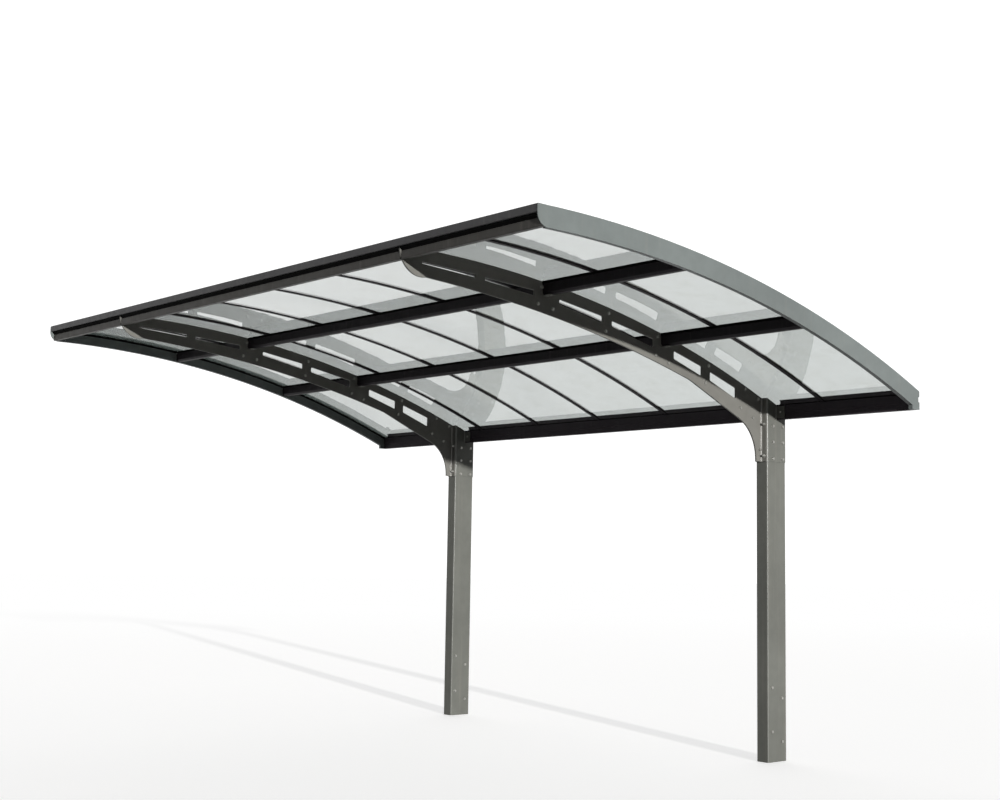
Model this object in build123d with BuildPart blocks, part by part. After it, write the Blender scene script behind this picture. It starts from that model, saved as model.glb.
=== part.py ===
from build123d import *
from math import asin, degrees, radians, sin, cos, sqrt
import os

os.makedirs("parts", exist_ok=True)

# A carport with an arched roof that two posts carry from its low rear edge.
# X runs along the line of the posts, -Y to the high front edge, +Z up.
# The origin is on the underside of the left post's ground anchor.
# All sizes are in millimetres.

# Layout
post_spacing = 2956
roof_centre_x = post_spacing / 2
bar_pitch = 620
bar_count = 7
gable_overhang = 10
roof_length = (bar_count + 1) * bar_pitch + 2 * gable_overhang
gable_thickness = 26
clearance = 0.3

# Posts
post_width = 86
post_depth = 172
post_wall = 3
post_corner = 8
inner_corner = 4
post_height = 2080

# Roof arc, in the plane of Y and Z: every curved piece shares this centre
roof_radius = 7110
arc_centre_y = -2758
arc_centre_drop = 6487
arc_centre_z = post_height - arc_centre_drop
roof_front_y = -2850
roof_rear_y = 37

# Depths below the roof arc, measured towards its centre
panel_depth = 23
panel_thickness = 4
bar_seat_depth = 30
purlin_top_depth = bar_seat_depth + clearance
arm_top_depth = 28
arm_tip_depth = 37.5
head_top_depth = 28.5

# Post heads
head_wall = 3
head_overlap = 310
head_bottom_z = post_height - head_overlap
cleat_length = 62
cleat_thickness = 4
cleat_height = 72
cleat_low_z = post_height - 46
cleat_high_z = cleat_low_z + cleat_height
cleat_root = 1

# Ground anchors
anchor_plate = 8
anchor_wall = 5
anchor_length = 150
anchor_height = 470
ground_hole_radius = 7
ground_hole_spacing = 100

# Arms, each of two bent plates back to back
plate_thickness = 5
plate_gap = 0.2
arm_tip_setback = 18
arm_tip_y = roof_front_y + arm_tip_setback
flange_reach = 41
flange_drop = 1
bend_radius = 10
nose_side_reach = 40
nose_side_depth = 129.9
nose_low_reach = 167
nose_low_depth = 165.4
arm_waist_y = -1600
arm_waist_depth = 197
arm_knee_y = -735
arm_knee_depth = 194.5
arm_knee_radius = 400
foot_corner_y = -142
foot_corner_depth = 237.6
foot_radius = 250

# Slots: where each starts and ends along Y, its depths at both ends, its corners' radius
arm_slots = (
    (-2695, -2352, 91, 101, 95, 112, 0),
    (-2291, -1950, 99, 114, 88, 117, 0),
    (-1772, -1446, 90, 118, 88, 126, 9),
    (-1376, -1040, 91, 126, 80, 129, 9),
    (-874, -634, 84, 130, 80, 136, 9),
    (-563, -330, 80, 131, 76, 138, 9),
)

# Purlins
purlin_depth = 40
purlin_height = 70
purlin_wall = 2.5
purlin_chamfer = 12
upper_purlin_y = -1894
lower_purlin_y = -980
seat_thickness = 4
seat_length = 62

# Front trim, and the front beam below it
trim_setback = 3
trim_front_y = roof_front_y + trim_setback
trim_depth = 52
trim_height = 38
trim_rise = 2
trim_lip = 34
trim_wall = 3
trim_corner = 2.5
beam_setback = 25
beam_front_y = roof_front_y + beam_setback
beam_depth = 30
beam_height = 41
beam_gap = 20
beam_wall = 3
beam_corner = 3
fin_setback = 20
fin_y = beam_front_y + fin_setback
fin_thickness = 4

# Rear gutter
gutter_front_y = 2
gutter_low_z = post_height - 53
gutter_height = 123
gutter_rear_z = gutter_low_z + gutter_height
gutter_wall = 3
gutter_step_height = 37
gutter_step_z = gutter_low_z + gutter_step_height
gutter_step = 3
gutter_lip = 10

# Glazing bars
bar_width = 26
bar_web = 6
bar_lower_flange = 2.7
bar_slot = 4.6
bar_cap = 9.5
bar_cap_corner = 3
bar_rear_reach = 20

# Roof panels' edges
panel_side_gap = 0.4
panel_front_gap = 6
panel_rear_reach = 16

# Gable arches
gable_depth = 100
gable_plate = 4
gable_nose_radius = 61
gable_top_radius = 5
gable_foot_y = -31
groove_depth = 13
groove_margin = 14
chamber_wall = 3
chamber_margin = 12
notch_length = 10
notch_height = 30
notch_low_z = post_height - 10

left_gable_x = roof_centre_x - roof_length / 2
right_gable_x = roof_centre_x + roof_length / 2
roof_left_x = left_gable_x + gable_thickness
roof_right_x = right_gable_x - gable_thickness
front_left_x = left_gable_x + gable_plate + clearance
front_right_x = right_gable_x - gable_plate - clearance
head_side = post_width / 2 + clearance + head_wall
head_front = post_depth / 2 + clearance + head_wall


def roof_z(y, depth):
    """Height of the arc that lies depth below the roof arc, at y."""
    radius = roof_radius - depth
    return arc_centre_z + sqrt(radius**2 - (y - arc_centre_y) ** 2)


def roof_angle(y, depth):
    """Angle from the vertical of the roof arc's radius at y, in degrees."""
    return degrees(asin((y - arc_centre_y) / (roof_radius - depth)))


def arc_point(y, depth):
    return (y, roof_z(y, depth))


def roof_arc(y_start, y_end, depth):
    """Arc in a Y-Z sketch, concentric with the roof."""
    middle = (y_start + y_end) / 2
    return ThreePointArc(
        arc_point(y_start, depth), arc_point(middle, depth), arc_point(y_end, depth)
    )


def radial_plane(y, depth):
    """Plane through the roof arc's centre line, its x along X and its y outward."""
    angle = radians(roof_angle(y, depth))
    outward = Vector(0, sin(angle), cos(angle))
    return Plane(
        origin=(0, arc_centre_y, arc_centre_z),
        x_dir=(1, 0, 0),
        z_dir=Vector(1, 0, 0).cross(outward),
    )


roof_axis = Axis((0, arc_centre_y, arc_centre_z), (1, 0, 0))
posts = (("left", 0), ("right", post_spacing))

# Ground anchors: a channel that stands inside each post
for side, post_x in posts:
    anchor_width = post_width - 2 * post_wall - 2 * clearance
    with BuildPart() as anchor:
        with BuildSketch(Plane.XZ.offset(-anchor_length / 2)):
            with Locations((post_x, anchor_height / 2)):
                Rectangle(anchor_width, anchor_height)
            with Locations((post_x, anchor_plate + anchor_height / 2)):
                Rectangle(anchor_width - 2 * anchor_wall, anchor_height, mode=Mode.SUBTRACT)
        extrude(amount=anchor_length)
        with BuildSketch():
            with Locations((post_x, 0)):
                with GridLocations(0, ground_hole_spacing, 1, 2):
                    Circle(ground_hole_radius)
        extrude(amount=anchor_plate, mode=Mode.SUBTRACT)
    anchor.part.label = f"{side}_post_anchor"
    export_step(anchor.part, f"parts/{anchor.part.label}.step")

# Posts: rounded box section
for side, post_x in posts:
    with BuildPart() as post:
        with BuildSketch():
            with Locations((post_x, 0)):
                RectangleRounded(post_width, post_depth, post_corner)
        extrude(amount=post_height)
        with BuildSketch() as hollow:
            with Locations((post_x, 0)):
                Rectangle(post_width - 2 * post_wall, post_depth - 2 * post_wall)
            chamfer(hollow.vertices(), length=inner_corner)
        extrude(amount=post_height, mode=Mode.SUBTRACT)
    post.part.label = f"{side}_post"
    export_step(post.part, f"parts/{post.part.label}.step")

# Post heads: a sleeve round the post's top, cut to the roof's slope,
# with a cleat on each side that the rear gutter is screwed to
head_cut = Plane(
    origin=(0, 0, roof_z(0, head_top_depth)),
    x_dir=(1, 0, 0),
    z_dir=(0, sin(radians(roof_angle(0, 0))), cos(radians(roof_angle(0, 0)))),
)
sleeve_height = roof_z(-head_front, 0) - head_bottom_z
for side, post_x in posts:
    with BuildPart() as head:
        with BuildSketch(Plane.XY.offset(head_bottom_z)):
            with Locations((post_x, 0)):
                RectangleRounded(2 * head_side, 2 * head_front, post_corner + head_wall)
        extrude(amount=sleeve_height)
        with BuildSketch(Plane.XY.offset(head_bottom_z)) as hollow:
            with Locations((post_x, 0)):
                Rectangle(post_width + 2 * clearance, post_depth + 2 * clearance)
            chamfer(hollow.vertices(), length=inner_corner)
        extrude(amount=sleeve_height, mode=Mode.SUBTRACT)
        split(bisect_by=head_cut, keep=Keep.BOTTOM)
        with BuildSketch(Plane.XZ.offset(-gutter_front_y + gutter_step + clearance)):
            for direction in (-1, 1):
                near = post_x + direction * (head_side - cleat_root)
                far = post_x + direction * (head_side + cleat_length)
                with Locations(((near + far) / 2, (cleat_low_z + cleat_high_z) / 2)):
                    Rectangle(abs(far - near), cleat_high_z - cleat_low_z)
        extrude(amount=cleat_thickness)
    head.part.label = f"{side}_post_head"
    export_step(head.part, f"parts/{head.part.label}.step")

# Arms: slotted web, a flange bolted to the post head and seats for the purlins
web_rear_y = -head_front - clearance
flange_front_y = web_rear_y - plate_thickness
arm_step_y = trim_front_y + trim_lip + trim_wall + clearance
nose_side = arc_point(arm_tip_y + nose_side_reach, nose_side_depth)
nose_low = arc_point(arm_tip_y + nose_low_reach, nose_low_depth)
arm_knee = arc_point(arm_knee_y, arm_knee_depth)
foot_corner = arc_point(foot_corner_y, foot_corner_depth)
for side, post_x in posts:
    for hand, direction in (("left", -1), ("right", 1)):
        web_x = post_x + direction * plate_gap
        web_normal = Plane.YZ.offset(web_x)
        with BuildPart() as plate:
            with BuildSketch(web_normal):
                with BuildLine():
                    nose = ThreePointArc(
                        arc_point(arm_tip_y, arm_tip_depth), nose_side, nose_low
                    )
                    belly = ThreePointArc(
                        nose @ 1, arc_point(arm_waist_y, arm_waist_depth), arm_knee
                    )
                    Polyline(
                        belly @ 1,
                        foot_corner,
                        (foot_corner[0], head_bottom_z),
                        (web_rear_y, head_bottom_z),
                        arc_point(web_rear_y, arm_top_depth),
                    )
                    roof_arc(web_rear_y, arm_step_y, arm_top_depth)
                    Line(
                        arc_point(arm_step_y, arm_top_depth),
                        arc_point(arm_step_y, arm_tip_depth),
                    )
                    roof_arc(arm_step_y, arm_tip_y, arm_tip_depth)
                make_face()
            extrude(amount=direction * plate_thickness)
            cross_edges = plate.edges().filter_by(Axis.X)
            fillet(cross_edges.sort_by_distance((web_x, *foot_corner))[0], radius=foot_radius)
            cross_edges = plate.edges().filter_by(Axis.X)
            fillet(cross_edges.sort_by_distance((web_x, *arm_knee))[0], radius=arm_knee_radius)
            # Slots with rounded corners, deeper towards the post
            for start, end, top_start, low_start, top_end, low_end, corner in arm_slots:
                with BuildSketch(web_normal) as slot:
                    with BuildLine():
                        Polyline(
                            arc_point(start, top_start),
                            arc_point(end, top_end),
                            arc_point(end, low_end),
                            arc_point(start, low_start),
                            close=True,
                        )
                    make_face()
                    if corner:
                        fillet(slot.vertices(), radius=corner)
                extrude(amount=direction * plate_thickness, mode=Mode.SUBTRACT)
            # Flange against the post head, bent from the web
            with BuildSketch(Plane.XZ.offset(-web_rear_y)):
                near = web_x
                far = post_x + direction * flange_reach
                flange_top = roof_z(web_rear_y, arm_top_depth + flange_drop)
                with Locations(((near + far) / 2, (head_bottom_z + flange_top) / 2)):
                    Rectangle(abs(far - near), flange_top - head_bottom_z)
            extrude(amount=plate_thickness)
            bend = (web_x + direction * plate_thickness, flange_front_y, head_bottom_z)
            bend_edge = plate.edges().filter_by(Axis.Z).sort_by_distance(bend)[0]
            fillet(bend_edge, radius=bend_radius)
            # Seats that the purlins' ends stand on
            for purlin_y in (upper_purlin_y, lower_purlin_y):
                seat_z = roof_z(purlin_y, purlin_top_depth) - purlin_height - clearance
                with BuildSketch(Plane.XY.offset(seat_z - seat_thickness)):
                    near = web_x
                    far = web_x + direction * seat_length
                    with Locations(((near + far) / 2, purlin_y + purlin_depth / 2)):
                        Rectangle(abs(far - near), purlin_depth)
                extrude(amount=seat_thickness)
        plate.part.label = f"{side}_arm_{hand}_plate"
        export_step(plate.part, f"parts/{plate.part.label}.step")

# Bays between the gables and the arms: the front beam's reach up to the gables' plates
web_side = plate_gap + plate_thickness + clearance
beam_bays = (
    ("left", front_left_x, -web_side),
    ("middle", web_side, post_spacing - web_side),
    ("right", post_spacing + web_side, front_right_x),
)
purlin_bays = (
    ("left", roof_left_x + clearance, -web_side),
    ("middle", web_side, post_spacing - web_side),
    ("right", post_spacing + web_side, roof_right_x - clearance),
)

# Front trim's and front beam's heights, from the roof arc down
trim_high_z = roof_z(trim_front_y, 0) + trim_rise
trim_low_z = trim_high_z - trim_height
beam_high_z = trim_low_z - beam_gap
beam_low_z = beam_high_z - beam_height

# Front beam: box section with a fin under the front trim
for bay, x_start, x_end in beam_bays:
    with BuildPart() as beam:
        with BuildSketch(Plane.YZ.offset(x_start)):
            beam_middle = (beam_front_y + beam_depth / 2, (beam_low_z + beam_high_z) / 2)
            with Locations(beam_middle):
                outline = Rectangle(beam_depth, beam_height)
                chamfer(outline.vertices(), length=beam_corner)
                inner_height = beam_height - 2 * beam_wall
                Rectangle(beam_depth - 2 * beam_wall, inner_height, mode=Mode.SUBTRACT)
            fin_low_z = beam_high_z - beam_wall / 2
            fin_high_z = roof_z(fin_y, purlin_top_depth)
            with Locations((fin_y, (fin_low_z + fin_high_z) / 2)):
                Rectangle(fin_thickness, fin_high_z - fin_low_z)
        extrude(amount=x_end - x_start)
    beam.part.label = f"front_beam_{bay}"
    export_step(beam.part, f"parts/{beam.part.label}.step")

# Purlins: box section, its top on the roof's slope and its lower front edge cut off
for level, purlin_y in (("upper", upper_purlin_y), ("lower", lower_purlin_y)):
    for bay, x_start, x_end in purlin_bays:
        rear_y = purlin_y + purlin_depth
        low_z = roof_z(purlin_y, purlin_top_depth) - purlin_height
        with BuildPart() as purlin:
            with BuildSketch(Plane.YZ.offset(x_start)):
                with BuildLine():
                    Polyline(
                        arc_point(purlin_y, purlin_top_depth),
                        arc_point(rear_y, purlin_top_depth),
                        (rear_y, low_z),
                        (purlin_y + purlin_chamfer, low_z),
                        (purlin_y, low_z + purlin_chamfer),
                        close=True,
                    )
                make_face()
            extrude(amount=x_end - x_start)
            offset(amount=-purlin_wall, openings=purlin.faces().filter_by(Axis.X))
        purlin.part.label = f"{level}_purlin_{bay}"
        export_step(purlin.part, f"parts/{purlin.part.label}.step")

# Rear gutter: open channel, its front wall stepped and its rear wall lipped
gutter_bays = (
    ("left", roof_left_x + clearance, -head_side - clearance),
    ("middle", head_side + clearance, post_spacing - head_side - clearance),
    ("right", post_spacing + head_side + clearance, roof_right_x - clearance),
)
gutter_front_z = roof_z(gutter_front_y, purlin_top_depth)
for bay, x_start, x_end in gutter_bays:
    with BuildPart() as gutter:
        with BuildSketch(Plane.YZ.offset(x_start)):
            with BuildLine():
                Polyline(
                    (gutter_front_y, gutter_low_z),
                    (roof_rear_y, gutter_low_z),
                    (roof_rear_y, gutter_rear_z),
                    (roof_rear_y - gutter_lip, gutter_rear_z),
                    (roof_rear_y - gutter_lip, gutter_rear_z - gutter_wall),
                    (roof_rear_y - gutter_wall, gutter_rear_z - gutter_wall),
                    (roof_rear_y - gutter_wall, gutter_low_z + gutter_wall),
                    (gutter_front_y + gutter_wall, gutter_low_z + gutter_wall),
                    (gutter_front_y + gutter_wall, gutter_step_z + gutter_wall),
                    (gutter_front_y, gutter_step_z + gutter_wall),
                    (gutter_front_y, gutter_front_z),
                    (gutter_front_y - gutter_step, gutter_front_z),
                    (gutter_front_y - gutter_step, gutter_step_z),
                    (gutter_front_y, gutter_step_z),
                    close=True,
                )
            make_face()
        extrude(amount=x_end - x_start)
    gutter.part.label = f"rear_gutter_{bay}"
    export_step(gutter.part, f"parts/{gutter.part.label}.step")

# Front trim: a channel that holds the panels' front edges, up to the gables' plates
trim_rear_y = trim_front_y + trim_depth
lip_y = trim_front_y + trim_lip
panel_low_z = roof_z(lip_y, panel_depth + panel_thickness) - clearance
panel_high_z = roof_z(lip_y, panel_depth) + clearance
with BuildPart() as trim:
    with BuildSketch(Plane.YZ.offset(front_left_x)):
        with BuildLine():
            Polyline(
                (trim_front_y, trim_low_z),
                (lip_y + trim_wall, trim_low_z),
                (lip_y + trim_wall, panel_low_z),
                (lip_y, panel_low_z),
                (lip_y, trim_low_z + trim_wall),
                (trim_front_y + trim_wall, trim_low_z + trim_wall),
                (trim_front_y + trim_wall, trim_high_z - trim_wall),
                (lip_y, trim_high_z - trim_wall),
                (lip_y, panel_high_z),
                (lip_y + trim_wall, panel_high_z),
                (lip_y + trim_wall, trim_high_z - trim_wall),
                (trim_rear_y, trim_high_z - trim_wall),
                (trim_rear_y, trim_high_z),
                (trim_front_y, trim_high_z),
                close=True,
            )
        make_face()
    extrude(amount=front_right_x - front_left_x)
    front_edges = trim.edges().filter_by(Axis.X).group_by(Axis.Y)[0]
    fillet(front_edges, radius=trim_corner)
trim.part.label = "front_trim"
export_step(trim.part, "parts/front_trim.step")

# Gable arches: a curved hollow band with a groove for the panel, thinned to a plate
# at its front to make room for the ends of the trim and the front beam
band_start_y = max(trim_rear_y, beam_front_y + beam_depth) + clearance
groove_end_y = roof_rear_y - groove_margin
groove_top = panel_depth - clearance
groove_low = panel_depth + panel_thickness + clearance
chamber_start_y = band_start_y + chamber_margin
chamber_top = groove_low + chamber_wall
chamber_low = gable_depth - chamber_wall
for side, x_start, inward in (("left", left_gable_x, 1), ("right", right_gable_x, -1)):
    with BuildPart() as gable:
        with BuildSketch(Plane.YZ.offset(x_start)):
            with BuildLine():
                roof_arc(roof_front_y, roof_rear_y, 0)
                Polyline(
                    arc_point(roof_rear_y, 0),
                    (roof_rear_y, gutter_low_z),
                    (gable_foot_y, gutter_low_z),
                    arc_point(gable_foot_y, gable_depth),
                )
                roof_arc(gable_foot_y, roof_front_y, gable_depth)
                Line(arc_point(roof_front_y, gable_depth), arc_point(roof_front_y, 0))
            make_face()
        extrude(amount=inward * gable_thickness)
        across = gable.edges().filter_by(Axis.X)
        front_low = across.sort_by_distance((x_start, *arc_point(roof_front_y, gable_depth)))[0]
        fillet(front_low, radius=gable_nose_radius)
        across = gable.edges().filter_by(Axis.X)
        front_high = across.sort_by_distance((x_start, *arc_point(roof_front_y, 0)))[0]
        fillet(front_high, radius=gable_top_radius)
        # Room for the trim's and the beam's ends, inside the front plate
        with BuildSketch(Plane.YZ.offset(x_start + inward * gable_plate)):
            with Locations(((roof_front_y + band_start_y) / 2, roof_z(roof_front_y, 0))):
                Rectangle(band_start_y - roof_front_y, 3 * gable_depth)
        extrude(amount=inward * gable_thickness, mode=Mode.SUBTRACT)
        # Groove for the panel's side edge
        with BuildSketch(Plane.YZ.offset(x_start + inward * gable_thickness)):
            with BuildLine():
                roof_arc(roof_front_y, groove_end_y, groove_top)
                Line(arc_point(groove_end_y, groove_top), arc_point(groove_end_y, groove_low))
                roof_arc(groove_end_y, roof_front_y, groove_low)
                Line(arc_point(roof_front_y, groove_low), arc_point(roof_front_y, groove_top))
            make_face()
        extrude(amount=-inward * groove_depth, mode=Mode.SUBTRACT)
        # Chamber of the band, open at the rear cut
        with BuildSketch(Plane.YZ.offset(x_start + inward * chamber_wall)):
            with BuildLine():
                roof_arc(chamber_start_y, roof_rear_y, chamber_top)
                Line(arc_point(roof_rear_y, chamber_top), arc_point(roof_rear_y, chamber_low))
                roof_arc(roof_rear_y, chamber_start_y, chamber_low)
                Line(arc_point(chamber_start_y, chamber_low), arc_point(chamber_start_y, chamber_top))
            make_face()
        extrude(amount=inward * (gable_thickness - 2 * chamber_wall), mode=Mode.SUBTRACT)
        # Notch in the outer wall, at the rear cut
        with BuildSketch(Plane.YZ.offset(x_start)):
            with Locations((roof_rear_y - notch_length / 2, notch_low_z + notch_height / 2)):
                Rectangle(notch_length, notch_height)
        extrude(amount=inward * chamber_wall, mode=Mode.SUBTRACT)
    gable.part.label = f"{side}_gable_arch"
    export_step(gable.part, f"parts/{gable.part.label}.step")

# Glazing bars: an H section with a deep cap, bent along the roof, on top of the purlins
bar_front_y = trim_rear_y + clearance
bar_rear_y = gutter_front_y + bar_rear_reach
bar_sweep = roof_angle(bar_rear_y, bar_seat_depth) - roof_angle(bar_front_y, bar_seat_depth)
bar_seat_radius = roof_radius - bar_seat_depth
for number in range(1, bar_count + 1):
    bar_x = roof_centre_x + (number - (bar_count + 1) / 2) * bar_pitch
    with BuildPart() as bar:
        with BuildSketch(radial_plane(bar_front_y, bar_seat_depth)):
            web_height = bar_lower_flange + bar_slot + bar_cap
            with Locations((bar_x, bar_seat_radius + bar_lower_flange / 2)):
                Rectangle(bar_width, bar_lower_flange)
            with Locations((bar_x, bar_seat_radius + web_height / 2)):
                Rectangle(bar_web, web_height)
            cap_middle = bar_seat_radius + web_height - bar_cap / 2
            with Locations((bar_x, cap_middle)):
                cap = Rectangle(bar_width, bar_cap)
            chamfer(cap.vertices().group_by(Axis.Y)[-1], length=bar_cap_corner)
        revolve(axis=roof_axis, revolution_arc=-bar_sweep)
    bar.part.label = f"glazing_bar_{number}"
    export_step(bar.part, f"parts/{bar.part.label}.step")

# Roof panels: clear curved sheets between the bars
panel_front_y = trim_front_y + trim_wall + panel_front_gap
panel_rear_y = gutter_front_y + panel_rear_reach
panel_sweep = roof_angle(panel_rear_y, panel_depth) - roof_angle(panel_front_y, panel_depth)
panel_count = bar_count + 1
for number in range(1, panel_count + 1):
    left_edge = roof_centre_x + (number - 1 - panel_count / 2) * bar_pitch + bar_web / 2
    right_edge = left_edge + bar_pitch - bar_web
    if number == 1:
        left_edge = left_gable_x + gable_thickness - groove_depth
    if number == panel_count:
        right_edge = right_gable_x - gable_thickness + groove_depth
    left_edge += panel_side_gap
    right_edge -= panel_side_gap
    with BuildPart() as panel:
        with BuildSketch(radial_plane(panel_front_y, panel_depth)):
            panel_middle_radius = roof_radius - panel_depth - panel_thickness / 2
            with Locations(((left_edge + right_edge) / 2, panel_middle_radius)):
                Rectangle(right_edge - left_edge, panel_thickness)
        revolve(axis=roof_axis, revolution_arc=-panel_sweep)
    panel.part.label = f"roof_panel_{number}"
    export_step(panel.part, f"parts/{panel.part.label}.step")
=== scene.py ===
from math import cos, pi, radians, sin, sqrt

import bmesh
import bpy
from mathutils import Matrix, Vector


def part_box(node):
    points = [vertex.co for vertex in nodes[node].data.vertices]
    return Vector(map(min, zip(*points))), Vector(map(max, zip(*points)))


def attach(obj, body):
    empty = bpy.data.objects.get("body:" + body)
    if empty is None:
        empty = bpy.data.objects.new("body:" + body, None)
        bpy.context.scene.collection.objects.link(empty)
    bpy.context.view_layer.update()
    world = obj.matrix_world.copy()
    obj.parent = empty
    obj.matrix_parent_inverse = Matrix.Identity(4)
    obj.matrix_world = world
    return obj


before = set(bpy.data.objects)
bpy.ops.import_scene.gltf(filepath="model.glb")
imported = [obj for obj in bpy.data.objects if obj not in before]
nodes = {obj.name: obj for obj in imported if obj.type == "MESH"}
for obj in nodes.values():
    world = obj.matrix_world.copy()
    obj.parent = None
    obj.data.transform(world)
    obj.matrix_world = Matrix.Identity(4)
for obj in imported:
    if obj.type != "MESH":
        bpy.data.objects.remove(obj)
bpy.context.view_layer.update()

# A carport with an arched clear roof on two posts. Sizes are in metres, in the frame's axes:
# X along the posts, -Y to the high front edge, +Z up.

# Places and sizes read from the frame
left_post_low, left_post_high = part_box("left_post")
right_post_low, right_post_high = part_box("right_post")
post_places = (
    ("left", (left_post_low.x + left_post_high.x) / 2),
    ("right", (right_post_low.x + right_post_high.x) / 2),
)
post_half_width = (left_post_high.x - left_post_low.x) / 2
_, left_gable_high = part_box("left_gable_arch")
right_gable_low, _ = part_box("right_gable_arch")
roof_left_x = left_gable_high.x
roof_right_x = right_gable_low.x
trim_low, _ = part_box("front_trim")
bays = ("left", "middle", "right")
beam_boxes = [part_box(f"front_beam_{bay}") for bay in bays]
gutter_boxes = [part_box(f"rear_gutter_{bay}") for bay in bays]
purlin_boxes = [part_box(f"{level}_purlin_{bay}") for level in ("upper", "lower") for bay in bays]
purlin_places = (purlin_boxes[0][0].y, purlin_boxes[len(bays)][0].y)
bar_count = 7
bar_places = []
for number in range(1, bar_count + 1):
    bar_low, bar_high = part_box(f"glazing_bar_{number}")
    bar_places.append((bar_low.x + bar_high.x) / 2)
bar_half_width = (bar_high.x - bar_low.x) / 2
bar_front_y = bar_low.y
bar_rear_y = bar_high.y
panel_rear_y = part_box("roof_panel_1")[1].y

# The roof arc that every curved piece follows, and depths below it
roof_radius = 7.110
arc_centre_y = -2.758
arc_centre_z = -4.407
sheet_top_depth = 0.023
sheet_low_depth = 0.027
bar_cap_depth = 0.0132
bar_seat_depth = 0.030
purlin_top_depth = 0.0303


def roof_point(x, y, depth):
    """Point at y that lies depth below the roof arc."""
    radius = roof_radius - depth
    return Vector((x, y, arc_centre_z + sqrt(radius**2 - (y - arc_centre_y) ** 2)))


# Shader helpers


def set_input(tree, socket, value):
    """Joins the input to a socket, or sets it to a plain value."""
    if isinstance(value, bpy.types.NodeSocket):
        tree.links.new(value, socket)
    else:
        socket.default_value = value


def add_node(tree, kind, inputs=None, **settings):
    """Adds a shader node, sets its properties and joins or sets its inputs."""
    node = tree.nodes.new("ShaderNode" + kind)
    for name, value in settings.items():
        setattr(node, name, value)
    for key, value in (inputs or {}).items():
        set_input(tree, node.inputs[key], value)
    return node


def math(tree, operation, first, second=0.5, clamp=False):
    node = add_node(tree, "Math", {0: first, 1: second}, operation=operation, use_clamp=clamp)
    return node.outputs[0]


def dot_product(tree, first, second):
    node = add_node(tree, "VectorMath", {0: first, 1: second}, operation="DOT_PRODUCT")
    return node.outputs["Value"]


def ramp(tree, value, low, high, low_result=0.0, high_result=1.0):
    """Spreads value between low and high smoothly over the results."""
    node = add_node(
        tree,
        "MapRange",
        {"Value": value, 1: low, 2: high, 3: low_result, 4: high_result},
        interpolation_type="SMOOTHSTEP",
    )
    return node.outputs[0]


def mix_colour(tree, amount, first, second, blend_type="MIX"):
    node = tree.nodes.new("ShaderNodeMix")
    node.data_type = "RGBA"
    node.blend_type = blend_type
    # Inputs 0, 6 and 7 are a colour mix's factor and its two colours, output 2 is its colour
    for socket, value in ((node.inputs[0], amount), (node.inputs[6], first), (node.inputs[7], second)):
        set_input(tree, socket, value)
    return node.outputs[2]


def noise(tree, place, scale, detail=3.0, roughness=0.5):
    inputs = {"Vector": place, "Scale": scale, "Detail": detail, "Roughness": roughness}
    return add_node(tree, "TexNoise", inputs).outputs["Fac"]


def own_place(tree):
    """The surface's own place, which rides with the piece."""
    return add_node(tree, "TexCoord").outputs["Object"]


def stretched_place(tree, stretch):
    """The surface's own place, its axes scaled by stretch."""
    return add_node(tree, "Mapping", {"Vector": own_place(tree), "Scale": stretch}).outputs[0]


def start_group(name, inputs, outputs):
    """A shader node group; inputs are (name, socket type, default), outputs (name, socket type)."""
    group = bpy.data.node_groups.new(name, "ShaderNodeTree")
    for socket_name, socket_type, default in inputs:
        socket = group.interface.new_socket(socket_name, in_out="INPUT", socket_type=socket_type)
        socket.default_value = default
    for socket_name, socket_type in outputs:
        group.interface.new_socket(socket_name, in_out="OUTPUT", socket_type=socket_type)
    return group, group.nodes.new("NodeGroupInput").outputs, group.nodes.new("NodeGroupOutput").inputs


def place_group(tree, group, inputs):
    node = tree.nodes.new("ShaderNodeGroup")
    node.node_tree = group
    for key, value in inputs.items():
        set_input(tree, node.inputs[key], value)
    return node.outputs


def grey(value):
    return (value, value, value, 1.0)


# Shader node groups

# Two faces meet in an edge where their normals' dot product falls from the first to the second
edge_begins = 0.99
edge_is_full = 0.8
peel_scale_share = 0.3
bare_metal_gain = 1.9
dust_dulling = 0.35


def make_powder_grain():
    """Fine orange peel of powder coat, as a height."""
    group, given, result = start_group(
        "powder_grain",
        [("Grain Scale", "NodeSocketFloat", 700.0)],
        [("Height", "NodeSocketFloat")],
    )
    place = own_place(group)
    grain = noise(group, place, given["Grain Scale"], detail=2.0, roughness=0.6)
    peel_scale = math(group, "MULTIPLY", given["Grain Scale"], peel_scale_share)
    peel = noise(group, place, peel_scale, detail=1.0)
    group.links.new(math(group, "ADD", grain, peel), result["Height"])
    return group


def make_rounded_edges():
    """Edges softened as by a thick coat, and a mask that is 1 along them."""
    group, given, result = start_group(
        "rounded_edges",
        [("Radius", "NodeSocketFloat", 0.002)],
        [("Normal", "NodeSocketVector"), ("Edge", "NodeSocketFloat")],
    )
    bevel = add_node(group, "Bevel", {"Radius": given["Radius"]}, samples=4)
    face_normal = add_node(group, "NewGeometry").outputs["Normal"]
    facing = dot_product(group, bevel.outputs[0], face_normal)
    group.links.new(ramp(group, facing, edge_begins, edge_is_full), result["Edge"])
    group.links.new(bevel.outputs[0], result["Normal"])
    return group


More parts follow.
